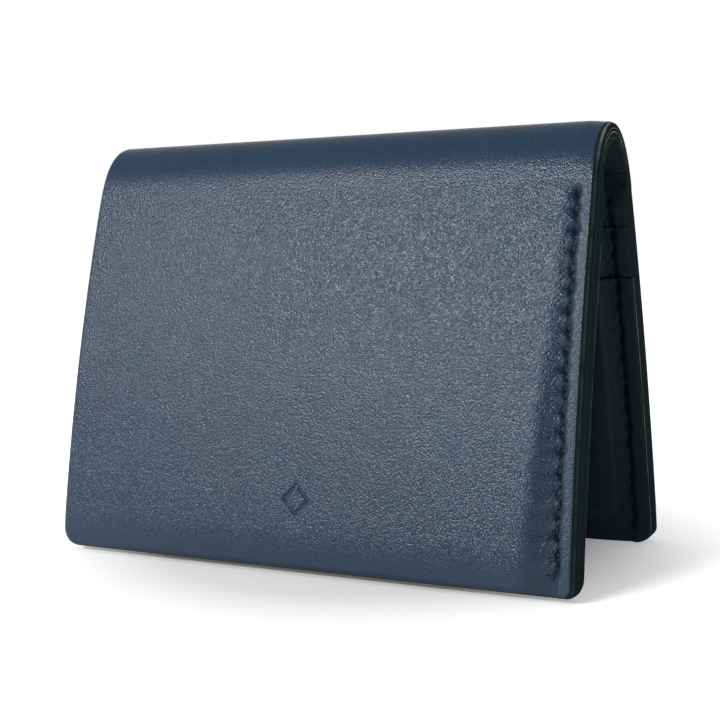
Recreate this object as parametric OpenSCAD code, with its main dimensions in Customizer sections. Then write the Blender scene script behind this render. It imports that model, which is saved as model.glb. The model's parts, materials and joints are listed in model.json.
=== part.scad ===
// Bifold card and note wallet, standing as a tent with its fold on top.
// X runs along the fold, Y is the depth between the two feet and Z is up.
// The origin is on the floor, midway between the feet and midway along the fold.
// A leather sheet that crosses the fold is cut into narrow strips, so that it can bend.

/* [Wallet] */
// Width along the fold
width = 102; // [98:1:110]
// Length of each straight panel below the fold
panel_length = 71; // [69:0.2:74]
// Outer radius of the rounded fold
fold_radius = 9; // [8.4:0.2:10]
// Radius of the lower corners
corner_radius = 3; // [1:0.5:5]

/* [Leather] */
// Thickness of the outer shell
shell_thickness = 1.6; // [1.5:0.1:2]
// Gap between shell and liner, where notes go
note_gap = 0.4; // [0.2:0.1:0.8]
// Thickness of the liner
liner_thickness = 1.2; // [1.2:0.1:1.6]
// Thickness of the sheet behind the card pockets
backing_thickness = 1.3; // [1:0.1:1.6]
// Thickness of a card pocket
pocket_thickness = 0.9; // [0.6:0.1:1]

/* [Card pockets] */
// Distance from the fold to the highest slot mouth
first_mouth = 0.5; // [0.4:0.1:1.5]
// Distance between slot mouths on the back panel
back_mouth_pitch = 9.5; // [8:0.5:11]
// Distance between slot mouths on the front panel
front_mouth_pitch = 12.5; // [10:0.5:16]
// Depth of the slot under a mouth
slot_depth = 48; // [44:1:49]
// Half width of the part of a pocket that holds a card
card_half_width = 44.5; // [43:0.1:44.6]
// Size of the slanting cut at the top corners of the highest pockets
corner_cut = 3; // [0.5:0.5:3]

/* [Stitching] */
// Distance of a seam from the side edge
seam_inset = 3.1; // [2.9:0.1:3.8]
// Distance from the fold to the first stitch hole
seam_start = 5; // [4.5:0.1:6]
// Distance from the lower edge to the last stitch hole
seam_end_gap = 3.4; // [3:0.1:6]
// Stitches in one seam
stitch_count = 19; // [16:1:22]
// Thickness of the thread
thread_size = 0.45; // [0.3:0.05:0.45]
// Width of the thread where it lies flat
thread_width = 0.7; // [0.5:0.1:0.7]

/* [Hidden] */

// The fold is an arc of equal strips. A hinge line lies between each two, on the outer surface.
strip_count = 6;
// Lean of a panel from upright: half of what one strip turns through
lean = 90 / (strip_count + 1);
strip_angle = 2 * lean;
// Play between strips at a hinge line, and how much their sides lean away from each other
hinge_gap = 0.1;
side_slant = 2.5;
// Distance of the panels' sheets from the outermost hinge lines
panel_gap = 0.2;

// Depths are measured inwards from the outer face of a panel
liner_depth = shell_thickness + note_gap;
backing_depth = liner_depth + liner_thickness;
pocket_depth = backing_depth + backing_thickness;
edge_depth = pocket_depth + pocket_thickness;

// Line where the front panel's outer face meets the fold. The inner lower edges touch the floor.
tangent_z = panel_length * cos(lean) + edge_depth * sin(lean);
tangent_y = -fold_radius * cos(lean);
fold_centre_z = tangent_z - fold_radius * sin(lean);

half_width = width / 2;
// Where a raised pocket starts to rise beside the seam, and where it is fully raised
rise_foot = half_width - 4.6;
rise_top = card_half_width + 0.4;
// Distance of a raised pocket's lower end from the lower edge, and the length of its slope
rise_end_gap = 4;
rise_slope = 3;
// Gap between the tab of one pocket and the next one's mouth
tab_gap = 0.1;

seam_x = half_width - seam_inset;
stitch_pitch = (panel_length - seam_end_gap - seam_start) / stitch_count;
// Depth of the thread under the face that it lies on: between two holes, and at a hole
thread_sink = 0.12;
thread_dip = 0.6;
// Length over which the thread dips towards a hole
dip_length = 0.6;
pin_size = thread_width - 0.1;
thread_play = 0.05;

shell_colour = [0.16, 0.21, 0.28];
lining_colour = [0.08, 0.11, 0.14];
thread_colour = [0.05, 0.07, 0.12];

$fn = 96;

// Places its children on a panel: X along the fold, Y inwards and -Z down from the fold.
// Side 1 is the front panel and side -1 the back panel.
module on_panel(side) {
    mirror([0, side < 0 ? 1 : 0, 0])
        translate([0, tangent_y, tangent_z])
            rotate([-lean, 0, 0])
                children();
}

// Extrudes a profile drawn in Y and Z along the fold, centred on x
module across(x, size) {
    translate([x - size / 2, 0, 0])
        rotate([90, 0, 90])
            linear_extrude(size)
                children();
}

module corner_waste(radius) {
    difference() {
        translate([-1, -1]) square(radius + 1);
        translate([radius, radius]) circle(radius);
    }
}

// Flat sheet from one distance below the fold to another, with rounded lower corners
module sheet(depth, thickness, top, bottom, half, radius) {
    translate([0, depth + thickness, 0])
        rotate([90, 0, 0])
            linear_extrude(thickness)
                difference() {
                    translate([-half, -bottom]) square([2 * half, bottom - top]);
                    for (flip = [0, 1])
                        mirror([flip, 0])
                            translate([-half, -bottom]) corner_waste(radius);
                }
}

// Strip of full width without rounded corners
module band(depth, thickness, top, bottom, half) {
    translate([-half, depth, -bottom]) cube([2 * half, thickness, bottom - top]);
}

// One stitch of thread between the holes at two distances, as a profile in Y and Z.
// The thread lies under the face and dips towards both holes. Way is 1 inwards, -1 outwards.
module stitch_profile(face, way, start, end) {
    dip = face + way * thread_dip;
    level = face + way * thread_sink;
    under = way * thread_size;
    polygon([
        [dip, -start], [level, -start - dip_length],
        [level, -end + dip_length], [dip, -end],
        [dip + under, -end], [level + under, -end + dip_length],
        [level + under, -start - dip_length], [dip + under, -start]]);
}

// Groove that takes one stitch, open to the face
module groove_profile(face, way, start, end) {
    floor_dip = face + way * (thread_dip + thread_size + thread_play);
    floor_level = face + way * (thread_sink + thread_size + thread_play);
    mouth = face - way;
    polygon([
        [mouth, -start], [floor_dip, -start], [floor_level, -start - dip_length],
        [floor_level, -end + dip_length], [floor_dip, -end], [mouth, -end]]);
}

function hole_at(index) = seam_start + index * stitch_pitch;

// Thread of one seam: stitches on both faces, and the passes through the holes between them
module seam_thread(x, first_face) {
    across(x, thread_width)
        for (index = [0 : stitch_count - 1]) {
            stitch_profile(first_face, 1, hole_at(index), hole_at(index + 1));
            stitch_profile(edge_depth, -1, hole_at(index), hole_at(index + 1));
        }
    for (index = [0 : stitch_count])
        translate([x - pin_size / 2, first_face + thread_dip, -hole_at(index) - pin_size / 2])
            cube([pin_size, edge_depth - first_face - 2 * thread_dip, pin_size]);
}

// What a seam takes out of the leather: two grooves and a row of slits
module seam_cut(x, first_face) {
    slit = pin_size + 2 * thread_play;
    across(x, thread_width + 2 * thread_play)
        for (index = [0 : stitch_count - 1]) {
            groove_profile(first_face, 1, hole_at(index), hole_at(index + 1));
            groove_profile(edge_depth, -1, hole_at(index), hole_at(index + 1));
        }
    for (index = [0 : stitch_count])
        translate([x - slit / 2, first_face - 1, -hole_at(index) - slit / 2])
            cube([slit, edge_depth - first_face + 2, slit]);
}

// The right seam goes through every layer, the left one through the inner layers only
module inner_seam_cuts() {
    seam_cut(seam_x, 0);
    seam_cut(-seam_x, liner_depth);
}

// Block with sloping sides and a sloping lower end, which stands inwards from a depth
module raised_block(depth, height, top, bottom) {
    intersection() {
        translate([0, 0, -bottom])
            linear_extrude(bottom - top)
                polygon([[-rise_foot, depth], [-rise_top, depth + height],
                    [rise_top, depth + height], [rise_foot, depth]]);
        across(0, 2 * rise_foot)
            polygon([[depth, -top], [depth + height, -top],
                [depth + height, -bottom + rise_slope], [depth, -bottom]]);
    }
}

// Strip of the fold between two hinge lines, counted from the front panel
module fold_strip(index, outer, inner) {
    half = strip_angle / 2;
    hinge_y = fold_radius * sin(half) - hinge_gap / 2;
    hinge_z = fold_radius * cos(half);
    reach = fold_radius - inner + 1;
    outer_y = hinge_y + sin(half + side_slant);
    outer_z = hinge_z + cos(half + side_slant);
    inner_y = hinge_y - reach * sin(half + side_slant);
    inner_z = hinge_z - reach * cos(half + side_slant);
    middle_angle = lean - 90 + strip_angle * (index - 0.5);
    translate([0, 0, fold_centre_z])
        rotate([-middle_angle, 0, 0])
            across(0, width)
                intersection() {
                    difference() {
                        circle(outer);
                        circle(inner);
                    }
                    polygon([[-outer_y, outer_z], [outer_y, outer_z],
                        [inner_y, inner_z], [-inner_y, inner_z]]);
                }
}

module outer_shell_panel(side) {
    color(shell_colour)
        on_panel(side)
            difference() {
                sheet(0, shell_thickness, panel_gap, panel_length, half_width, corner_radius);
                seam_cut(seam_x, 0);
            }
}

module outer_shell_spine(index) {
    color(shell_colour) fold_strip(index, fold_radius, fold_radius - shell_thickness);
}

module liner_panel(side) {
    color(lining_colour)
        on_panel(side)
            difference() {
                sheet(liner_depth, liner_thickness, panel_gap, panel_length, half_width,
                    corner_radius);
                inner_seam_cuts();
            }
}

module liner_spine(index) {
    color(lining_colour)
        fold_strip(index, fold_radius - liner_depth, fold_radius - backing_depth);
}

module pocket_backing(side) {
    color(lining_colour)
        on_panel(side)
            difference() {
                sheet(backing_depth, backing_thickness, first_mouth, panel_length, half_width,
                    corner_radius);
                inner_seam_cuts();
            }
}

// Highest pocket of a panel: a wide tab with cut corners, and a narrower flat bag below it
module highest_pocket(side, pitch) {
    tab_end = first_mouth + pitch - tab_gap;
    color(lining_colour)
        on_panel(side)
            difference() {
                union() {
                    band(pocket_depth, pocket_thickness, first_mouth, tab_end, half_width);
                    band(pocket_depth, pocket_thickness, first_mouth, first_mouth + slot_depth,
                        card_half_width);
                }
                for (flip = [0, 1])
                    mirror([flip, 0, 0])
                        translate([half_width, pocket_depth - 1, -first_mouth])
                            rotate([0, 45, 0])
                                translate([-corner_cut / sqrt(2), 0, -corner_cut / sqrt(2)])
                                    cube([sqrt(2) * corner_cut, 4, sqrt(2) * corner_cut]);
                inner_seam_cuts();
            }
}

// Pocket that lies over one other bag: a raised tab with a narrower flat bag below it
module middle_pocket(side, mouth, pitch) {
    tab_end = mouth + pitch - tab_gap;
    color(lining_colour)
        on_panel(side)
            difference() {
                union() {
                    difference() {
                        union() {
                            band(pocket_depth, pocket_thickness, mouth, tab_end, half_width);
                            raised_block(edge_depth, pocket_thickness, mouth, tab_end + rise_slope);
                        }
                        raised_block(pocket_depth, pocket_thickness, mouth - 1,
                            tab_end + 2 * rise_slope);
                        band(pocket_depth, 3 * pocket_thickness, tab_end,
                            tab_end + 3 * rise_slope, half_width);
                    }
                    band(edge_depth, pocket_thickness, mouth, mouth + slot_depth,
                        card_half_width);
                }
                inner_seam_cuts();
            }
}

// Pocket nearest to the lower edge, raised over the bags of the ones above it
module lowest_pocket(side, mouth, layers_under) {
    height = layers_under * pocket_thickness;
    color(lining_colour)
        on_panel(side)
            difference() {
                union() {
                    sheet(pocket_depth, pocket_thickness, mouth, panel_length, half_width,
                        corner_radius);
                    raised_block(edge_depth, height, mouth, panel_length - rise_end_gap);
                }
                raised_block(pocket_depth, height, mouth - 1, panel_length - rise_end_gap);
                inner_seam_cuts();
            }
}

module right_seam_thread(side) {
    color(thread_colour) on_panel(side) seam_thread(seam_x, 0);
}

module left_seam_thread(side) {
    color(thread_colour) on_panel(side) seam_thread(-seam_x, liner_depth);
}

module back_card_pocket_middle() {
    middle_pocket(-1, first_mouth + back_mouth_pitch, back_mouth_pitch);
}

module back_card_pocket_lower() {
    lowest_pocket(-1, first_mouth + 2 * back_mouth_pitch, 2);
}

module front_card_pocket_lower() {
    lowest_pocket(1, first_mouth + front_mouth_pitch, 1);
}

outer_shell_panel(1);  // outer_shell_front
outer_shell_panel(-1);  // outer_shell_back
outer_shell_spine(1);  // outer_shell_spine_1
outer_shell_spine(2);  // outer_shell_spine_2
outer_shell_spine(3);  // outer_shell_spine_3
outer_shell_spine(4);  // outer_shell_spine_4
outer_shell_spine(5);  // outer_shell_spine_5
outer_shell_spine(6);  // outer_shell_spine_6
liner_panel(1);  // liner_front
liner_panel(-1);  // liner_back
liner_spine(1);  // liner_spine_1
liner_spine(2);  // liner_spine_2
liner_spine(3);  // liner_spine_3
liner_spine(4);  // liner_spine_4
liner_spine(5);  // liner_spine_5
liner_spine(6);  // liner_spine_6
pocket_backing(1);  // front_pocket_backing
pocket_backing(-1);  // back_pocket_backing
highest_pocket(1, front_mouth_pitch);  // front_card_pocket_upper
front_card_pocket_lower();
highest_pocket(-1, back_mouth_pitch);  // back_card_pocket_upper
back_card_pocket_middle();
back_card_pocket_lower();
right_seam_thread(1);  // front_right_seam_thread
right_seam_thread(-1);  // back_right_seam_thread
left_seam_thread(1);  // front_left_seam_thread
left_seam_thread(-1);  // back_left_seam_thread
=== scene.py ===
"""A bifold leather wallet that stands as a tent on its two lower edges.

Leather and thread are laid out flat first and then bent over the fold. In the flat layout x runs
along the fold, run is the way over the outside of the shell (0 on top of the fold, negative on the
front, positive on the back) and depth goes inwards from the shell's outer face. The flat layout is
in millimetres, and every mesh is in metres.
"""
import json
import math

import bpy
import numpy as np
from mathutils import Matrix, Vector


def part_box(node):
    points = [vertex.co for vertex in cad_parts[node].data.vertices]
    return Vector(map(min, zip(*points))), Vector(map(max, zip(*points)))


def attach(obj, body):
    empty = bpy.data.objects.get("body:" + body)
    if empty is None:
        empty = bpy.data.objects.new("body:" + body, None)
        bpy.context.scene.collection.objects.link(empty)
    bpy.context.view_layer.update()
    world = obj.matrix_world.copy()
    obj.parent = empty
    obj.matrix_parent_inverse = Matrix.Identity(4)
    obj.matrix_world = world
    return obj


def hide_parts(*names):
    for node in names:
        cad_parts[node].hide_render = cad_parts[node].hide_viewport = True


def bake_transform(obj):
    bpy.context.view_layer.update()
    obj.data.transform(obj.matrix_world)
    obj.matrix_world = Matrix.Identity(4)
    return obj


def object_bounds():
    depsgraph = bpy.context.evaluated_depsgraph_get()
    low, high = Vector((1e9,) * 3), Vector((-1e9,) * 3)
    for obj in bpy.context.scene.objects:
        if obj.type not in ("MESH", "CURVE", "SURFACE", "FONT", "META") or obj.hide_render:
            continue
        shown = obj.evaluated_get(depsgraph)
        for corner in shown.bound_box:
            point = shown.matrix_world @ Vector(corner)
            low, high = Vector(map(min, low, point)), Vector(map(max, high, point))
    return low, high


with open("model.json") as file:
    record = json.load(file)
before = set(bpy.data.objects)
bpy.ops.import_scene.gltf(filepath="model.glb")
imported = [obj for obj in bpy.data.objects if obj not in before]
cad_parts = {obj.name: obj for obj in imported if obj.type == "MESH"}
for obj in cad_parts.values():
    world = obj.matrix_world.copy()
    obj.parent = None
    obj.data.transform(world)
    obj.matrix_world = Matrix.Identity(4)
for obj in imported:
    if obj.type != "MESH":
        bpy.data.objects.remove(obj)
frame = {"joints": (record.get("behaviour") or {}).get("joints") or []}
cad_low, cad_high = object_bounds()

MM = 0.001

# ---------------------------------------------------------------- sizes from the frame, in mm
HINGES = [(j["pos_m"][1] / MM, j["pos_m"][2] / MM) for j in frame["joints"]]
STRIPS = len(HINGES) - 1
LEAN = math.radians(90 / (STRIPS + 1))
HALF_WIDTH = cad_high.x / MM

# layers of a panel, from the outer face inwards
SHELL = 1.6
NOTE_GAP = 0.4
LINER = 1.2
BACKING = 1.3
POCKET = 0.9
LINER_DEPTH = SHELL + NOTE_GAP
BACKING_DEPTH = LINER_DEPTH + LINER
POCKET_DEPTH = BACKING_DEPTH + BACKING
EDGE_DEPTH = POCKET_DEPTH + POCKET

# outer lower corner of the front panel, and the length of a flat panel
shell_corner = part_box("outer_shell_front")[0] / MM
FOOT_Y = -shell_corner.y
FOOT_Z = shell_corner.z + SHELL * math.sin(LEAN)
PANEL = math.hypot(FOOT_Y + HINGES[0][0], HINGES[0][1] - FOOT_Z)

# card pockets: height of the highest mouth over the lower edge, and distance between two mouths
FIRST_MOUTH = PANEL - 0.5
BACK_PITCH = 9.5
FRONT_PITCH = 12.5
# depth of a slot, half width of the bag under a mouth, play between a tab and the next mouth, and
# the slanting cut at the corners of the highest pockets
SLOT_DEPTH = 48
CARD_HALF = 44.5
TAB_GAP = 0.1
CORNER_CUT = 3.0
# how much thinner backing and highest pocket are at the highest mouth
BACKING_SKIVED = 1.2
POCKET_SKIVED = 0.45

# seams: place across, heights of the first and the last hole, and the stitches between them
SEAM_X = HALF_WIDTH - 3.1
SEAM_TOP = PANEL - 5
SEAM_END = 3.4
STITCHES = 19
PITCH = (SEAM_TOP - SEAM_END) / STITCHES
THREAD_RADIUS = 0.29
# length over which the thread's strands turn once round it
TWIST_LENGTH = 1.5
# how far a stitch leans across the seam's line
STITCH_SLANT = 0.16

# the shell's rounded rim, and the width of the line along a rim's corner that is painted lighter,
# partly as rubbing and partly as a highlight
RIM_WIDTH = 0.9
RIM_DEPTH = 0.75
WORN_AND_LIT_LINE = 0.24

# the standing wallet's shape: radius at the very top of the fold, length over which the curve
# eases into the panel, turn of the panel from there to its foot, and how far the foot stands out
TOP_RADIUS = 8.0
EASE = 18.8
BOW_TURN = math.radians(8.75)
FOOT_OUT = 0.62
OUTLINE_STEPS = 2400
# how far the outline and its rows go on beyond the foot, for layers that slide down
BEYOND_FOOT = 2.0
# how far the lower edge of the shell is pressed in, and how far the right end of the fold droops
END_PRESSED = 0.3
END_DROOP = 0.34


def smooth(value, start, end):
    """0 before start, 1 after end, with a soft step between them."""
    t = np.clip((np.asarray(value, float) - start) / (end - start), 0, 1)
    return t * t * (3 - 2 * t)


# ---------------------------------------------------------------- the bent shape

def trace(crown, leg, beyond=0.0):
    """Half of the outer outline from the top down: way along it, y, z and slope at each step.
    The curve keeps its radius over the crown, then eases, and then is a gently bowed leg."""
    way = np.linspace(0, crown + EASE + leg + beyond, OUTLINE_STEPS)
    top, bow = 1 / TOP_RADIUS, BOW_TURN / leg
    curve = top + (bow - top) * smooth(way, crown, crown + EASE)
    slope = sum_up(curve, way)
    return way, sum_up(np.cos(slope), way), OUTLINE_TOP - sum_up(np.sin(slope), way), slope


def sum_up(values, way):
    """Running integral of values over the way."""
    steps = (values[1:] + values[:-1]) / 2 * np.diff(way)
    return np.concatenate([[0], np.cumsum(steps)])


def fit_outline():
    """Lengths of crown and leg with which the outline ends at the foot, by Newton's method."""
    def miss(lengths):
        _, y, z, _ = trace(*lengths)
        return np.array([y[-1] - FOOT_Y - FOOT_OUT, z[-1] - FOOT_Z])

    small = 0.001
    lengths = np.array([1.0, PANEL - 5])
    for _ in range(12):
        here = miss(lengths)
        slopes = [(miss(lengths + step) - here) / small for step in np.eye(2) * small]
        lengths = lengths - np.linalg.solve(np.stack(slopes, 1), here)
    return lengths


OUTLINE_TOP = cad_high.z / MM
CROWN, LEG = fit_outline()
REACH = CROWN + EASE + LEG
OUTLINE = trace(CROWN, LEG, BEYOND_FOOT)
FOOT_SLOPE = float(np.interp(REACH, OUTLINE[0], OUTLINE[3]))
# the inner layers slide down along the bowed leg, until all the lower edges are near the floor
SLIDE = (FOOT_Z / EDGE_DEPTH - math.cos(FOOT_SLOPE)) / math.sin(FOOT_SLOPE)


def bend(x, run, depth):
    """Points in metres, in the row frame, of flat points in millimetres."""
    x, run, depth = np.broadcast_arrays(*(np.asarray(v, float) for v in (x, run, depth)))
    way = np.abs(run)
    way = way + depth * SLIDE * np.clip((way - REACH + PANEL) / PANEL, 0, 1)
    y, z, slope = (np.interp(way, OUTLINE[0], column) for column in OUTLINE[1:])
    y = np.sign(run) * (y - depth * np.sin(slope))
    return np.stack([x, y, z - depth * np.cos(slope)], -1) * MM


# ---------------------------------------------------------------- relief of the leather

def near_hole(height):
    """1 at each stitch hole and 0 halfway between two."""
    return 0.5 + 0.5 * np.cos(2 * math.pi * (SEAM_TOP - height) / PITCH)


def below_seam_top(height):
    """1 up to a seam's highest hole, 0 above it."""
    return 1 - smooth(height, SEAM_TOP - 0.2, SEAM_TOP + 1.5)


def along_seam(height):
    """1 beside a seam, 0 beyond its first and its last hole."""
    return smooth(height, SEAM_END - 1.5, SEAM_END + 0.2) * below_seam_top(height)


def waver(height):
    """Slow drift of a line that was marked by hand."""
    return 0.10 * np.sin(height * 0.71 + 0.4) + 0.07 * np.sin(height * 1.93 + 1.1)


def beside_seam(x, height, seam=SEAM_X, outward=1):
    """Distance from a seam's line, positive towards the nearer side edge."""
    return (x - seam) * outward + waver(height)


def from_seam(x, height, seam=SEAM_X, outward=1):
    """Distance from a seam's groove, which swings out and back from hole to hole."""
    return beside_seam(x, height, seam, outward) + STITCH_SLANT * (near_hole(height) - 0.5)


def uneven_pull(height):
    """How hard each stitch was pulled, which differs from stitch to stitch."""
    return 1 + 0.28 * np.sin(height * 1.37 + 2.0) + 0.18 * np.sin(height * 3.3)


def groove_share(off, height):
    """1 in the middle of the groove, which is widest at the holes."""
    width = 0.44 + 0.28 * near_hole(height) * uneven_pull(height)
    return np.exp(-((off / width) ** 2))


def eased(share):
    """A straight ramp from 0 to 1 with a soft start."""
    share = np.clip(share, 0, 1)
    return np.where(share < 0.5, share ** 2, share - 0.25) / 0.75


def low_share(height):
    """1 at the lower edge and 0 towards the fold: the leather is slacker low down."""
    return 1 - smooth(height, 5, 62)


def seam_reach(height):
    """How far from the seam the leather sinks towards it."""
    return 1.2 * np.clip(6.6 - 0.072 * height, 1.8, 6.2)


def seam_relief(x, height, seam, outward):
    """How far a seam pulls a face in. Outward is the way to the nearer side edge, 1 or -1."""
    hole = near_hole(height)
    off = from_seam(x, height, seam, outward)
    groove = (0.30 + 0.28 * hole) * groove_share(off, height)
    pucker = 0.12 * hole * uneven_pull(height) * np.exp(-((off / 1.6) ** 2)) * along_seam(height)
    depth = 0.46 + 0.25 * (1 - smooth(height, 0, 50))
    slope = eased(1 + beside_seam(x, height, seam, outward) / seam_reach(height))
    lip = 0.10 * np.exp(-(((off + 0.6) / 0.3) ** 2)) * along_seam(height)
    panel_side = (depth * slope + pucker - lip) * (off < 0)
    edge_side = (0.20 + 0.04 * np.abs(off)) * (off >= 0)
    return along_seam(height) * groove + below_seam_top(height) * (panel_side + edge_side)


MARK_HEIGHT = 12.0
MARK_SIZE = 2.5
MARK_LINE = 0.42
MARK_DEPTH = 0.26
# half the size of the part of the sheet whose rows and columns lie close together for the mark
MARK_ROOM = 3.2
MARK_STEP = 0.14


def mark_relief(x, height):
    """Outline of a small rhombus in the middle of the sheet, pressed into the front."""
    ring = np.abs(x) + np.abs(height - MARK_HEIGHT) - MARK_SIZE
    return MARK_DEPTH * (1 - smooth(np.abs(ring), MARK_LINE * 0.5, MARK_LINE * 1.1))


def on_fold(run):
    """1 on the fold's crown and 0 on the panels."""
    return 1 - smooth(np.abs(run), 5.0, 15.0)


def shell_outer(x, run):
    """The shell's outer face, with its seam, the mark, and its drooping and its pressed end."""
    height = REACH - np.abs(run)
    droop = END_DROOP * smooth(x, HALF_WIDTH - 4.5, HALF_WIDTH - 0.3) * on_fold(run)
    pressed_end = END_PRESSED * (1 - smooth(height, 0, 7))
    seam = seam_relief(x, height, SEAM_X, 1)
    return seam + mark_relief(x, height) * (run < 0) + droop + pressed_end


def closed_gap(x, run):
    """1 where shell and liner are pressed together, at the right seam and the lower edge."""
    height = REACH - np.abs(run)
    right = smooth(x, 42.5, 45.5) * (1 - smooth(height, PANEL - 4, PANEL + 1))
    return np.maximum(right, 1 - smooth(height, 2, 5))


def liner_outer(x, run):
    """The liner's outer face, which reaches the shell where the two are pressed together."""
    return LINER_DEPTH - (NOTE_GAP - 0.03) * closed_gap(x, run)


def skived(height, thinner):
    """How much a layer is thinned towards the highest mouth, where it has lost all of thinner."""
    return thinner * smooth(height, FIRST_MOUTH - 6.5, FIRST_MOUTH)


def level(depth, thinner=0.0):
    """A flat face."""
    def face(x, run):
        height = REACH - np.abs(run)
        return np.full(np.broadcast(x, run).shape, float(depth)) - skived(height, thinner)
    return face


def raised(depth, layers, bottom, thinner=0.0):
    """A face that is raised over the bags of other pockets, between the seams."""
    def face(x, run):
        height = REACH - np.abs(run)
        across = 1 - smooth(np.abs(x), CARD_HALF + 0.3, CARD_HALF + 2.0)
        rise = layers * POCKET * across * smooth(height, bottom, bottom + 3)
        return depth + rise - skived(height, thinner)
    return face


def inner_face(face, mouth=None):
    """The face towards the wallet's inside, with both seams' grooves and, where there is a mouth, a
    crease under it."""
    def inside(x, run):
        height = REACH - np.abs(run)
        sink = seam_relief(x, height, SEAM_X, 1) + seam_relief(x, height, -SEAM_X, -1)
        sunk = face(x, run) - 0.75 * sink
        if mouth is None:
            return sunk
        return sunk - 0.12 * np.exp(-(((mouth - height - 1.5) / 0.28) ** 2))
    return inside


# ---------------------------------------------------------------- sheets of leather

def spaced(start, end, step):
    """Positions from start to end, about a step apart."""
    count = max(1, int(round(abs(end - start) / step)))
    return list(np.linspace(start, end, count + 1))


def joined(*stretches):
    """Several rows of positions as one, without the repeats where they meet."""
    out = []
    for stretch in stretches:
        out += [v for v in stretch if not out or abs(v - out[-1]) > 1e-6]
    return np.array(out)


def edge_rows(size):
    """Distances from an end of a sheet at which its rows lie, denser towards the end."""
    return [size * (1 - math.cos(i / 6 * math.pi / 2)) for i in range(7)]


def corner_loss(height, radius):
    """How much narrower a sheet is at a height, from a rounded lower corner."""
    up = np.clip(radius - height, 0, radius)
    return radius - np.sqrt(np.maximum(radius ** 2 - up ** 2, 0))


def curl(ends, width):
    """How far a face has come round a rounded end of that width, 0 to 1, at each row."""
    return 1 - np.sqrt(1 - np.clip(1 - ends[:, None] / width, 0, 1) ** 2)


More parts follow.
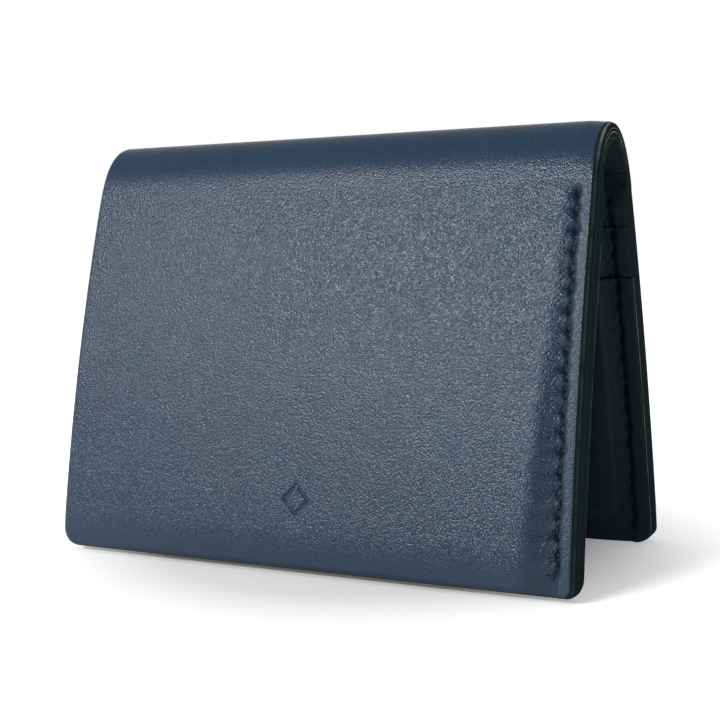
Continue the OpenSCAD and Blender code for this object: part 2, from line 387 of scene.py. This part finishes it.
class Sheet:
    """A sheet of leather as a grid. Each row is a closed loop round the sheet's section: the outer
    face, the right rim, the inner face and the left rim."""

    def __init__(self, rows, columns, half, outer, inner, rims, ends,
                 paint=(0.1, 0.1, 0.1), worn_and_lit=(0.3, 0.3, 0.3)):
        """rows: run of each row, in the order front to back.
        columns: x of the columns of a face.
        half: widths left and right of the middle at a run.
        outer, inner: depth of a face at (x, run).
        rims: width and depth of the rounded outer edge, and of the inner one.
        ends: distance from each row to the nearest rounded end.
        paint: how far the edge paint reaches in from the left edge, the right edge and an end.
        worn: how much lighter the rim's outer and inner corner are, from rubbing and from a painted
        highlight, and how much of that is left on a panel."""
        self.rows, self.ends = rows, ends
        run = rows[:, None]
        widths = np.array([half(r) for r in rows])
        (outer_w, outer_d), (inner_w, inner_d) = rims
        broad = outer_w > 0.5
        turn = np.linspace(0, math.pi / 2, 7 if broad else 4)[1:]

        x_out = squeeze(columns, widths - outer_w)
        x_in = squeeze(columns, widths - inner_w)
        curl_out, curl_in = curl(ends, outer_w), curl(ends, inner_w)
        top, low = outer(x_out, run), inner(x_in, run)
        room = np.maximum(low - top, 0.1)
        top = top + np.minimum(outer_d, 0.5 * room) * curl_out
        low = low - np.minimum(inner_d, 0.4 * room) * curl_in

        def rim(side, column):
            """Points from the outer face over the rim to the inner face."""
            left = np.maximum(low[:, [column]] - top[:, [column]], 0.02)
            fall_out, fall_in = np.minimum(outer_d, 0.5 * left), np.minimum(inner_d, 0.4 * left)
            flat = left - fall_out - fall_in
            inset = np.minimum(WORN_AND_LIT_LINE, 0.35 * flat)
            side_x = x_out[:, [column]] + side * outer_w
            back_turn = turn[:-1] - turn[0]
            x = np.hstack([x_out[:, [column]] + side * outer_w * np.sin(turn), side_x, side_x,
                           x_in[:, [column]] + side * inner_w * np.cos(back_turn)])
            high_end = top[:, [column]] + fall_out
            low_end = low[:, [column]] - fall_in
            depth = np.hstack([high_end - fall_out * np.cos(turn), high_end + inset, low_end - inset,
                               low_end + fall_in * np.sin(back_turn)])
            return x, depth

        # the rim's corners are painted lighter, partly as rubbing and partly as a highlight, most of
        # all where the sheet is bent
        worn_lit_out, worn_lit_in, worn_lit_panel = worn_and_lit
        count = len(turn)
        bent = worn_lit_panel + (1 - worn_lit_panel) * on_fold(run)
        corner_at = (count - 1) * (0.35 if broad else 1)
        corner = np.exp(-((np.arange(count) - corner_at) / 0.9) ** 2)
        rim_wear_and_highlight = bent * np.concatenate([worn_lit_out * corner, [0, 0, worn_lit_in], np.zeros(count - 2)])

        right, left = rim(1, -1), rim(-1, 0)
        self.x = np.hstack([x_out, right[0], x_in[:, ::-1], left[0][:, ::-1]])
        self.depth = np.hstack([top, right[1], low[:, ::-1], left[1][:, ::-1]])
        self.face_columns, self.rim_columns = len(columns), right[0].shape[1]
        bare = np.zeros(top.shape)
        self.wear = np.hstack([bare, rim_wear_and_highlight, bare, rim_wear_and_highlight[:, ::-1]])
        self.points = bend(self.x, run, self.depth)
        self.edge = self.paint_share(widths, paint)
        self.normals = self.vertex_normals()

    def paint_share(self, widths, paint):
        """1 where the edge is painted, falling to 0 beside the paint."""
        left = (widths[:, [0]] + self.x) / paint[0]
        right = (widths[:, [1]] - self.x) / paint[1]
        end = self.ends[:, None] / paint[2]
        return 1 - smooth(np.minimum(np.minimum(left, right), end), 0.7, 1.3)

    def quads(self, first, last):
        """Faces between two rows, as vertex numbers counted from the first of them."""
        count = self.points.shape[1]
        row, col = np.meshgrid(np.arange(last - first), np.arange(count), indexing="ij")
        a, b = row * count + col, row * count + (col + 1) % count
        return np.stack([a, b, b + count, a + count], -1).reshape(-1, 4)

    def cap(self, offset, turned):
        """Faces that close the sheet at a row whose vertices start at offset."""
        n, k = self.face_columns, self.rim_columns
        partner = [2 * n + k - 1 - i for i in range(n)]
        faces = [[i, partner[i], partner[i + 1], i + 1] for i in range(n - 1)]
        faces.append(list(range(n - 1, n + k + 1))[::-1])
        faces.append([0] + list(range(2 * n + k - 1, 2 * (n + k)))[::-1])
        return [[offset + v for v in (face[::-1] if turned else face)] for face in faces]

    def vertex_normals(self):
        """A smooth normal at each point, from the faces round it."""
        points = self.points.reshape(-1, 3)
        quads = self.quads(0, len(self.rows) - 1)
        corners = points[quads]
        normal = np.cross(corners[:, 2] - corners[:, 0], corners[:, 3] - corners[:, 1])
        total = np.zeros_like(points)
        for i in range(4):
            np.add.at(total, quads[:, i], normal)
        length = np.linalg.norm(total, axis=1, keepdims=True)
        return (total / np.maximum(length, 1e-15)).reshape(self.points.shape)

    def object(self, name, materials, first=0, last=None):
        """A mesh of the rows from first to last, closed at both of them."""
        last = len(self.rows) - 1 if last is None else last
        count = self.points.shape[1]
        quads = self.quads(first, last)
        caps = self.cap(0, False) + self.cap((last - first) * count, True)
        mesh = bpy.data.meshes.new(name)
        mesh.from_pydata(self.points[first:last + 1].reshape(-1, 3), [], quads.tolist() + caps)
        mesh.shade_smooth()
        self.add_uv(mesh, first, last)
        for label, values in self.shares(first, last).items():
            mesh.attributes.new(label, "FLOAT", "POINT").data.foreach_set(
                "value", values.ravel().astype(np.float32))
        mesh.normals_split_custom_set_from_vertices(self.normals[first:last + 1].reshape(-1, 3))
        for material in materials:
            mesh.materials.append(material)
        painted = self.edge[first:last + 1].reshape(-1)[quads].min(1) > 0.9
        slots = np.concatenate([painted, np.ones(len(caps), bool)]).astype(np.int32)
        mesh.polygons.foreach_set("material_index", slots)
        made = bpy.data.objects.new(name, mesh)
        bpy.context.scene.collection.objects.link(made)
        return made

    def shares(self, first, last):
        """What the materials need to know at each point of the rows: edge paint, the rims' rubbing and
        painted highlight, the pressed strip outside the seam, wrinkles, whose valleys get painted
        shade, loose leather with painted shade beside the seam and along the lower edge, and its dip
        beside the seam, the seam's groove, which also gets painted shade, and where the leather is
        stretched."""
        height = REACH - np.abs(self.rows[first:last + 1, None])
        off = from_seam(self.x[first:last + 1], height)
        beside = beside_seam(self.x[first:last + 1], height)
        reach = seam_reach(height)
        at_seam, on_seam = below_seam_top(height), along_seam(height)
        # painted shade falls on the loose leather beside the seam, and on a band along the lower edge
        sunk = at_seam * (1 - smooth(off, -1.0, -0.5)) * (0.5 + 0.5 * low_share(height))
        relaxed = smooth(REACH - height, 9.0, 17.0) * smooth(height, 0.5, 6.0)
        return {
            "edge": self.edge[first:last + 1],
            "wear": self.wear[first:last + 1],
            "strip": at_seam * smooth(off, -0.1, 0.6),
            "wrinkles": on_seam * smooth(off, -4.2, -1.0) * (1 - smooth(off, -0.4, 0.3)),
            "slack_shade": np.maximum(sunk * smooth(beside + reach, 0, 3.5),
                                0.6 * (1 - smooth(height, 1.0, 6.0))),
            "dip": at_seam * low_share(height) * eased((beside + reach) / (reach - 0.8)),
            "groove": on_seam * groove_share(off - 0.15, height),
            "taut": np.broadcast_to(1 - relaxed, off.shape)}

    def add_uv(self, mesh, first, last):
        """Metres along the section and along the run."""
        x, depth = self.x[first:last + 1], self.depth[first:last + 1]
        steps = np.hypot(np.diff(x, append=x[:, :1]), np.diff(depth, append=depth[:, :1]))
        across = np.hstack([np.zeros((len(x), 1)), np.cumsum(steps, axis=1)])
        across -= across[:, [self.face_columns // 2]]
        run = self.rows[first:last + 1]
        count = x.shape[1]
        row, col = np.meshgrid(np.arange(last - first), np.arange(count), indexing="ij")
        corners = [(row, col), (row, col + 1), (row + 1, col + 1), (row + 1, col)]
        side = np.stack([np.stack([across[r, c], run[r]], -1) for r, c in corners], 2)
        side = side.reshape(-1, 2)
        uv = np.zeros((len(mesh.loops), 2))
        uv[:len(side)] = side * MM
        index = np.zeros(len(mesh.loops), int)
        mesh.loops.foreach_get("vertex_index", index)
        rest = index[len(side):]
        uv[len(side):] = np.stack([across[:, :-1].ravel()[rest], run[rest // count]], -1) * MM
        mesh.uv_layers.new(name="sheet").data.foreach_set("uv", uv.ravel().astype(np.float32))


def squeeze(columns, widths):
    """Columns for a face whose widths differ from row to row; only the outer parts move."""
    widest = np.abs(columns).max()
    fixed = widest - 10
    half = np.where(columns < 0, widths[:, [0]], widths[:, [1]])
    share = np.clip((np.abs(columns) - fixed) / (widest - fixed), 0, 1)
    return np.sign(columns) * (np.minimum(np.abs(columns), fixed) + share * (half - fixed))


# ---------------------------------------------------------------- pieces

# distance between the rows of a panel, and of the fold
ROW_STEP = PITCH / 9
FOLD_STEP = 0.55
# radius of the lower corners on the side where the wallet opens
LEFT_CORNER = 3.3
# a height below the lower end of every bag
BELOW_BAGS = -9


def rounded(right_radius):
    """Widths of a sheet whose lower corners are rounded, each to its own radius."""
    def half(run):
        height = REACH - abs(run)
        return [HALF_WIDTH - corner_loss(height, radius) for radius in (LEFT_CORNER, right_radius)]
    return half


def face_columns(marked=False):
    """Columns of a face: close together over the seams and, on the shell, over the mark."""
    wide = 1.6
    mark = spaced(-MARK_ROOM, MARK_ROOM, MARK_STEP if marked else wide)
    right = joined(spaced(MARK_ROOM, 38.0, wide), spaced(38.0, 43.5, 0.5),
                   spaced(43.5, HALF_WIDTH, 0.25))
    return joined(-right[::-1], mark, right)


def panel_heights(top, marked=False):
    """Heights of the rows of a panel from its lower edge up to top."""
    mark_low, mark_high = MARK_HEIGHT - MARK_ROOM, MARK_HEIGHT + MARK_ROOM
    return joined(edge_rows(RIM_WIDTH), spaced(RIM_WIDTH, mark_low, ROW_STEP),
                  spaced(mark_low, mark_high, MARK_STEP if marked else ROW_STEP),
                  spaced(mark_high, top, ROW_STEP))


def cut_run(strip):
    """Run of the middle line of a strip of the fold, counted from the front panel."""
    return (REACH - PANEL) * (strip - (STRIPS + 1) / 2) / ((STRIPS + 1) / 2 - 0.5)


def folded_sheet(outer, inner, half, rims, paint, marked, worn_and_lit):
    """A sheet from one lower edge over the fold to the other, and its rows at the strips' middles."""
    top = REACH + cut_run(1)
    front = panel_heights(top, marked) - REACH
    back = REACH - panel_heights(top)[::-1]
    fold = [spaced(cut_run(k), cut_run(k + 1), FOLD_STEP) for k in range(1, STRIPS)]
    rows = joined(front, *fold, back)
    cuts = [int(np.argmin(np.abs(rows - cut_run(k)))) for k in range(1, STRIPS + 1)]
    ends = REACH - np.abs(rows)
    sheet = Sheet(rows, face_columns(marked), half, outer, inner, rims, ends, paint, worn_and_lit)
    return sheet, cuts


def place_folded(sheet, cuts, name, node, inner_depth, material):
    """Cuts a folded sheet at the middles of the strips and hides the nodes that the pieces replace."""
    lines = [0] + cuts + [len(sheet.rows) - 1]
    nodes = [node + "_front"] + [f"{node}_spine_{k}" for k in range(1, STRIPS + 1)] + [node + "_back"]
    hinge_run = REACH - PANEL
    for i, (first, last) in enumerate(zip(lines, lines[1:])):
        piece = sheet.object(f"{name}_{i + 1}", material, first, last)
        start_run = cut_run(i) if i > 0 else -hinge_run - 1.0
        end_run = cut_run(i + 1) if i < STRIPS else hinge_run + 1.0
        start = Vector(bend(0, start_run, inner_depth))
        end = Vector(bend(0, end_run, inner_depth))
        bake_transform(piece)
        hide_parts(nodes[i])
        if i == STRIPS:
            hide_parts(nodes[i + 1])


def flat_sheet(name, side, heights, half, outer, inner, rims, material, worn_and_lit=(0.1, 0.1, 0.2)):
    """A sheet that lies on one panel. side is -1 on the front panel and 1 on the back one."""
    rows = np.sort(side * (REACH - heights))
    height = REACH - np.abs(rows)
    ends = np.minimum(heights.max() - height, height - heights.min())
    sheet = Sheet(rows, face_columns(), half, outer, inner, rims, ends, worn_and_lit=worn_and_lit)
    return sheet.object(name, material)


# width and depth of the rounded outer edge of a sheet, and of its inner edge
SHELL_RIMS = (RIM_WIDTH, RIM_DEPTH), (0.06, 0.05)
THIN_RIMS = (0.03, 0.02), (0.03, 0.02)
POCKET_RIMS = (0.06, 0.05), (0.4, 0.32)


def place(piece, body, node, slot):
    """Gives a piece its body and hides the node that it replaces."""
    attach(piece, body)
    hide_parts(node)


def mouth_rows(bottom, mouth):
    """Heights of the rows of a pocket with a rounded edge at its mouth and its lower end."""
    ends = edge_rows(0.4)
    low = [bottom + v for v in ends]
    high = [mouth - v for v in ends[::-1]]
    return joined(low, spaced(low[-1], high[0], ROW_STEP), high)


def backing(side, body, node, material):
    """The sheet behind a panel's card pockets."""
    inner = inner_face(level(POCKET_DEPTH, BACKING_SKIVED))
    piece = flat_sheet(node + "_piece", side, mouth_rows(0, FIRST_MOUTH), rounded(2.5),
                       level(BACKING_DEPTH), inner, THIN_RIMS, material)
    place(piece, body, node, "lining_leather")


def tab_half(mouth, tab_end, cut):
    """Half width of a pocket: a tab of full width with cut corners, over a narrower bag."""
    def half(run):
        height = REACH - abs(run)
        wide = HALF_WIDTH - max(0.0, cut - (mouth - height))
        return [wide, wide] if height > tab_end else [CARD_HALF, CARD_HALF]
    return half


def bag_rows(mouth, tab_end):
    """Heights of the rows of a pocket with a step in its width, at the end of its tab."""
    rows = mouth_rows(mouth - SLOT_DEPTH, mouth)
    rows = rows[np.abs(rows - tab_end) > 0.1]
    return np.sort(np.append(rows, [tab_end - 0.02, tab_end + 0.02]))


def upper_pocket(side, body, node, mouth, pitch, layers, cut, material):
    """A pocket whose bag hangs behind the next one, over as many other bags as layers says."""
    tab_end = mouth - pitch + TAB_GAP
    skive = BACKING_SKIVED + POCKET_SKIVED
    outer = raised(POCKET_DEPTH, layers, BELOW_BAGS, BACKING_SKIVED)
    inner = inner_face(raised(EDGE_DEPTH, layers, BELOW_BAGS, skive), mouth)
    piece = flat_sheet(node + "_piece", side, bag_rows(mouth, tab_end),
                       tab_half(mouth, tab_end, cut), outer, inner, POCKET_RIMS, material)
    place(piece, body, node, "lining_leather")


def lower_pocket(side, body, node, mouth, layers, material):
    """The pocket that reaches down to the lower edge."""
    outer = raised(POCKET_DEPTH, layers, 4)
    inner = inner_face(raised(EDGE_DEPTH, layers, 4), mouth)
    piece = flat_sheet(node + "_piece", side, mouth_rows(0, mouth), rounded(3.1), outer, inner,
                       POCKET_RIMS, material, (0.1, 1.0, 0.7))
    place(piece, body, node, "lining_leather")


# ---------------------------------------------------------------- thread

def stitch(seam, side, index, face, way):
    """Rings of one stitch between two holes. way is 1 when the stitch shows outwards."""
    t = np.linspace(0, 1, 17)
    height = SEAM_TOP - (index + t) * PITCH
    run = side * (REACH - height)
    x = seam + STITCH_SLANT * way * (2 * t - 1)
    surface = face(np.full_like(run, seam), run)
    plunge = 1.0 * np.abs(2 * t - 1) ** 5
    depth = surface + way * (0.14 + plunge)
    turn = np.linspace(0, 2 * math.pi, 13)[:-1]
    twist = 2 * math.pi * t * PITCH / TWIST_LENGTH + index
    lobe = 0.84 + 0.16 * np.abs(np.cos(turn[None, :] - twist[:, None]))
    radius = THREAD_RADIUS * lobe
    across, inwards = radius * np.cos(turn), radius * np.sin(turn)
    return bend(x[:, None] + across, run[:, None], depth[:, None] + inwards)


def tube_faces(base, rings, around, flipped):
    """Faces of a closed tube of so many rings, whose vertices start at base."""
    faces = []
    for ring in range(rings - 1):
        for i in range(around):
            a, b = base + ring * around + i, base + ring * around + (i + 1) % around
            faces.append([a, b, b + around, a + around])
    end = base + (rings - 1) * around
    faces += [list(range(base, base + around))[::-1], list(range(end, end + around))]
    return [face[::-1] for face in faces] if flipped else faces


def seam_thread(side, seam, first_face, last_face, body, node, material):
    """A seam's stitches on its first face and on its last one."""
    points, faces = [], []
    for index in range(STITCHES):
        for face, way in ((first_face, 1), (last_face, -1)):
            rings = stitch(seam, side, index, face, way)
            faces += tube_faces(len(points), *rings.shape[:2], side < 0)
            points += rings.reshape(-1, 3).tolist()
    mesh = bpy.data.meshes.new(node + "_piece")
    mesh.from_pydata(points, [], faces)
    mesh.shade_smooth()
    mesh.materials.append(material)
    piece = bpy.data.objects.new(node + "_piece", mesh)
    bpy.context.scene.collection.objects.link(piece)
    place(piece, body, node, "thread")


# ---------------------------------------------------------------- materials

class Nodes:
    """Short names for adding nodes to the tree of a material or a world."""

    def __init__(self, tree):
        self.tree = tree

    def add(self, kind, **inputs):
        node = self.tree.nodes.new("ShaderNode" + kind)
        for name, value in inputs.items():
            self.set(node, name.replace("_", " "), value)
        return node

    def set(self, node, name, value):
        socket = node.inputs[int(name)] if name.isdigit() else node.inputs[name]
        if isinstance(value, bpy.types.NodeSocket):
            self.tree.links.new(value, socket)
        else:
            socket.default_value = value

    def math(self, operation, a, b=0.0, c=0.0):
        node = self.tree.nodes.new("ShaderNodeMath")
        node.operation = operation
        for i, value in enumerate((a, b, c)):
            self.set(node, str(i), value)
        return node.outputs[0]

    def attribute(self, name):
        node = self.tree.nodes.new("ShaderNodeAttribute")
        node.attribute_name = name
        return node.outputs["Fac"]

    def mix(self, factor, a, b):
        node = self.tree.nodes.new("ShaderNodeMix")
        node.data_type = "RGBA"
        self.set(node, "0", factor)
        self.set(node, "6", a)
        self.set(node, "7", b)
        return node.outputs[2]

    def noise(self, vector, scale, detail=3.0, rough=0.5):
        node = self.add("TexNoise", Vector=vector, Scale=scale, Detail=detail, Roughness=rough)
        return node.outputs["Fac"]

    def ramp(self, value, low, high, start=0.0, end=1.0, soft=False):
        """From start to end while value goes from low to high."""
        node = self.add("MapRange", Value=value, From_Min=low, From_Max=high, To_Min=start, To_Max=end)
        node.interpolation_type = "SMOOTHSTEP" if soft else "LINEAR"
        return node.outputs["Result"]


def new_material(name):
    """A material, its nodes and its shader."""
    material = bpy.data.materials.new(name)
    material.use_nodes = True
    nodes = Nodes(material.node_tree)
    return material, nodes, nodes.tree.nodes["Principled BSDF"]


# how high the wrinkles stand and how deep the dip beside the seam is, against the grain's depth
WRINKLES = 4.0
DIP = 23.0
# near-black colour of painted shade in the seam's groove
GROOVE_SHADE = (0.001, 0.003, 0.006, 1)


def leather(name, dark, light, strip, paint, grain, rough, specular, depth):
    """Grained leather that turns into edge paint, with a pressed strip, a dip and wrinkles at the
    seam. The colours are those of the grain's hollows and tops, partly the grain's own tone and
    partly painted shade and glints, of the strip and of the paint. Shade is also painted into the
    wrinkles' valleys, the loose leather beside the seam and along the lower edge, and the groove."""
    material, n, shader = new_material(name)
    uv = n.add("UVMap").outputs["UV"]
    edge, strip_share, wrinkle_share, groove, taut, slack_shade, dip = (
        n.attribute(a) for a in ("edge", "strip", "wrinkles", "groove", "taut", "slack_shade", "dip"))
    uneven = n.math("MULTIPLY_ADD", n.noise(uv, 900, 2), 0.5, -0.25)
    edge_share = n.ramp(n.math("ADD", edge, uneven), 0.35, 0.6)

    # the grain: cells, finer noise and slow clouds, calmer where the leather is taut; its colour is
    # partly the grain's own tone and partly painted glints on the tops and painted shade in the
    # hollows
    crease = n.add("TexVoronoi", Vector=uv, Scale=grain).outputs["Distance"]
    cloud = n.noise(uv, 45, 4, 0.6)
    fine = n.noise(uv, grain * 1.25, 1, 0.5)
    shade = n.math("MULTIPLY_ADD", cloud, 0.25, n.math("MULTIPLY", fine, 0.5))
    shade = n.math("MULTIPLY_ADD", crease, -1.0, shade)
    relaxed = n.math("MULTIPLY_ADD", taut, -0.65, 1.0)
    spread = n.math("SUBTRACT", n.ramp(shade, -0.15, 0.15), 0.42)
    grain_tone_and_glints = n.math("MULTIPLY_ADD", spread, relaxed, 0.42)

    # wrinkles that run aslant towards the seam, with painted shade in their valleys
    slanted = n.add("Mapping", Vector=uv, Rotation=(0, 0, 0.9), Scale=(0.0016, 0.00042, 1.0))
    slanted.vector_type = "TEXTURE"
    folds = n.noise(slanted.outputs["Vector"], 1.0, 1, 0.5)
    valley_shade = n.math("MULTIPLY", n.ramp(folds, 0.58, 0.42), wrinkle_share)

    colour = n.mix(grain_tone_and_glints, (*dark, 1), (*light, 1))
    # painted shade: the wrinkles' valleys and the loose leather beside the seam and along the lower
    # edge are darkened towards the grain's hollow colour
    shaded = n.math("MAXIMUM", n.math("MULTIPLY", valley_shade, 0.75), n.math("MULTIPLY", slack_shade, 0.85))
    colour = n.mix(shaded, colour, (*dark, 1))
    colour = n.mix(n.math("MULTIPLY", strip_share, 0.5), colour, (*strip, 1))
    # painted shade in the seam's groove
    colour = n.mix(n.math("MULTIPLY", groove, 0.92), colour, GROOVE_SHADE)
    n.set(shader, "Base Color", n.mix(edge_share, colour, (*paint, 1)))

    dull = n.math("MULTIPLY_ADD", n.math("MAXIMUM", strip_share, groove), 0.10, rough - 0.08)
    dull = n.math("MULTIPLY_ADD", slack_shade, 0.05, dull)
    n.set(shader, "Roughness", n.math("MULTIPLY_ADD", fine, 0.16, dull))
    n.set(shader, "Specular IOR Level", specular)

    pebble = n.math("MULTIPLY_ADD", fine, 0.8, n.math("MULTIPLY", crease, -1.0))
    calm = n.math("SUBTRACT", relaxed, n.math("MULTIPLY", edge_share, 0.3))
    calm = n.math("SUBTRACT", calm, n.math("MULTIPLY", strip_share, 0.2))
    creases = n.math("MULTIPLY", folds, wrinkle_share)
    height = n.math("ADD", n.math("MULTIPLY", pebble, calm), n.math("MULTIPLY", creases, WRINKLES))
    height = n.math("MULTIPLY_ADD", dip, -DIP, height)
    bump = n.add("Bump", Height=height, Strength=1.0, Distance=depth)
    n.set(shader, "Normal", bump.outputs["Normal"])
    return material


def edge_paint(name, colour, worn_and_lit):
    """Painted edge, lighter along the corners, where it is rubbed and where a highlight is painted on.
    """
    material, n, shader = new_material(name)
    uv = n.add("UVMap").outputs["UV"]
    rubbed_and_lit = n.math("MULTIPLY", n.attribute("wear"), n.ramp(n.noise(uv, 260, 2), 0.25, 0.6))
    n.set(shader, "Base Color", n.mix(rubbed_and_lit, (*colour, 1), (*worn_and_lit, 1)))
    n.set(shader, "Roughness", 0.85)
    n.set(shader, "Specular IOR Level", 0.02)
    bump = n.add("Bump", Height=n.noise(uv, 700, 3), Strength=0.5, Distance=0.00008)
    n.set(shader, "Normal", bump.outputs["Normal"])
    return material


def waxed_thread(name):
    """Dark thread with a dull sheen."""
    material, n, shader = new_material(name)
    n.set(shader, "Base Color", (0.002, 0.007, 0.018, 1))
    n.set(shader, "Roughness", 0.65)
    n.set(shader, "Specular IOR Level", 0.08)
    return material


# ---------------------------------------------------------------- the wallet

# colours of a leather: the hollows and the tops of its grain, partly its own tone and partly painted
# shade and glints, and its pressed strip; the hollows' colour is also the painted shade of wrinkles
# and loose leather
NAVY = (0.0015, 0.014, 0.037), (0.017, 0.052, 0.097), (0.004, 0.035, 0.070)
LINING = (0.0045, 0.0120, 0.0170), (0.0090, 0.0180, 0.0240), (0.008, 0.017, 0.021)
PAINT = (0.0035, 0.0100, 0.0120)
# the rims' lighter colour: partly rubbed edge paint, partly a painted highlight
WORN_AND_LIT_PAINT = (0.30, 0.29, 0.26)
# grains to a metre
GRAIN = 3000.0

paint = edge_paint("edge paint", PAINT, WORN_AND_LIT_PAINT)
navy = leather("navy leather", *NAVY, PAINT, GRAIN, rough=0.30, specular=0.38, depth=0.00007)
lining = leather("lining leather", *LINING, PAINT, GRAIN, rough=0.62, specular=0.12, depth=0.00006)
thread = waxed_thread("waxed thread")
outer_finish, inner_finish = (navy, paint), (lining, paint)

shell, cuts = folded_sheet(shell_outer, level(SHELL), rounded(1.6), SHELL_RIMS,
                           paint=(0.2, 1.2, 0.3), marked=True, worn_and_lit=(0.9, 0.6, 0.08))
place_folded(shell, cuts, "shell", "outer_shell", SHELL, outer_finish)
liner, cuts = folded_sheet(liner_outer, inner_face(level(BACKING_DEPTH)), rounded(2.0), THIN_RIMS,
                           paint=(0.1, 0.1, 0.1), marked=False, worn_and_lit=(1.0, 0.2, 0.0))
place_folded(liner, cuts, "liner", "liner", BACKING_DEPTH, inner_finish)

innermost = inner_face(level(EDGE_DEPTH))
for side, body, name in ((-1, "front_panel", "front"), (1, "back_panel", "back")):
    backing(side, body, name + "_pocket_backing", inner_finish)
    seam_thread(side, SEAM_X, shell_outer, innermost, body, name + "_right_seam_thread", thread)
    seam_thread(side, -SEAM_X, level(LINER_DEPTH + 0.1), innermost, body,
                name + "_left_seam_thread", thread)

upper_pocket(-1, "front_panel", "front_card_pocket_upper", FIRST_MOUTH, FRONT_PITCH,
             layers=0, cut=CORNER_CUT, material=inner_finish)
lower_pocket(-1, "front_panel", "front_card_pocket_lower", FIRST_MOUTH - FRONT_PITCH,
             layers=1, material=inner_finish)
upper_pocket(1, "back_panel", "back_card_pocket_upper", FIRST_MOUTH, BACK_PITCH,
             layers=0, cut=CORNER_CUT, material=inner_finish)
upper_pocket(1, "back_panel", "back_card_pocket_middle", FIRST_MOUTH - BACK_PITCH, BACK_PITCH,
             layers=1, cut=0.0, material=inner_finish)
lower_pocket(1, "back_panel", "back_card_pocket_lower", FIRST_MOUTH - 2 * BACK_PITCH,
             layers=2, material=inner_finish)

# ---------------------------------------------------------------- floor, light and camera

# strength of the room overhead, where it is 1 round the horizon
OVERHEAD = 0.42
# the way to the room's dim part, high up on the camera's side
DIM_SIDE = (0.574, -0.819, 0.0)
# the floor's painted glow close to the wallet, and how much more there is further off
GLOW_NEAR = 0.10
GLOW_MORE = 0.62
CAMERA_PLACE = (0.116815, -0.220871, 0.059427)
# yaw, pitch and roll, in degrees
CAMERA_TURN = (27.571, 3.055, -1.362)


def stage_floor():
    """A white floor with a painted glow that is weaker close to the wallet, which paints a darker
    patch round it where its shadow falls.
    """
    size = 3.0
    corners = [(-size, -size, 0), (size, -size, 0), (size, size, 0), (-size, size, 0)]
    mesh = bpy.data.meshes.new("floor")
    mesh.from_pydata(corners, [], [(0, 1, 2, 3)])
    material, n, shader = new_material("pale floor")
    away = n.add("VectorMath", Vector=n.add("NewGeometry").outputs["Position"])
    away.operation = "LENGTH"
    far = n.ramp(away.outputs["Value"], 0.035, 0.075)
    n.set(shader, "Base Color", (0.92, 0.92, 0.92, 1))
    n.set(shader, "Roughness", 0.8)
    n.set(shader, "Specular IOR Level", 0.1)
    n.set(shader, "Emission Color", (1, 1, 1, 1))
    n.set(shader, "Emission Strength", n.math("MULTIPLY_ADD", far, GLOW_MORE, GLOW_NEAR))
    mesh.materials.append(material)
    floor = bpy.data.objects.new("floor", mesh)
    bpy.context.scene.collection.objects.link(floor)


def studio_world():
    """White round the horizon, greyer overhead, and dim high up on the camera's side."""
    world = bpy.data.worlds.new("white room")
    world.use_nodes = True
    bpy.context.scene.world = world
    n = Nodes(world.node_tree)
    where = n.add("TexCoord").outputs["Generated"]
    height = n.add("SeparateXYZ", Vector=where).outputs["Z"]
    side = n.add("VectorMath", Vector=where)
    side.operation = "DOT_PRODUCT"
    side.inputs[1].default_value = DIM_SIDE
    room = n.ramp(height, 0.25, 0.6, 1.0, OVERHEAD, soft=True)
    other_sides = n.ramp(side.outputs["Value"], 0.43, 0.64, 1.0, 0.0, soft=True)
    horizon = n.ramp(height, 0.14, 0.26, 1.0, 0.0, soft=True)
    lit = n.math("MAXIMUM", other_sides, horizon)
    background = n.tree.nodes["Background"]
    n.set(background, "Color", (1, 1, 1, 1))
    n.set(background, "Strength", n.math("MULTIPLY", room, lit))


def soft_light(name, place, target, size, power):
    """A rectangular lamp of that size and power, which faces the target."""
    data = bpy.data.lights.new(name, "AREA")
    data.shape = "RECTANGLE"
    data.size, data.size_y = size
    data.energy = power
    lamp = bpy.data.objects.new(name, data)
    lamp.location = place
    lamp.rotation_euler = (Vector(target) - Vector(place)).to_track_quat("-Z", "Y").to_euler()
    bpy.context.scene.collection.objects.link(lamp)


def add_camera():
    """Looks at the front from the right, a little below the fold's height."""
    data = bpy.data.cameras.new("camera")
    data.sensor_width = 36
    data.lens = 66.329
    data.shift_y = -0.08
    data.clip_start = 0.01
    camera = bpy.data.objects.new("camera", data)
    yaw, pitch, roll = (math.radians(angle) for angle in CAMERA_TURN)
    turn = Matrix.Rotation(yaw, 4, "Z") @ Matrix.Rotation(math.pi / 2 - pitch, 4, "X")
    turn = turn @ Matrix.Rotation(roll, 4, "Z")
    camera.matrix_world = Matrix.Translation(Vector(CAMERA_PLACE)) @ turn
    bpy.context.scene.collection.objects.link(camera)
    bpy.context.scene.camera = camera


stage_floor()
studio_world()
soft_light("key", (-0.36, -0.85, 0.53), (0, 0, 0.04), (0.36, 0.20), 8.5)
add_camera()
bpy.context.scene.view_settings.view_transform = "Standard"
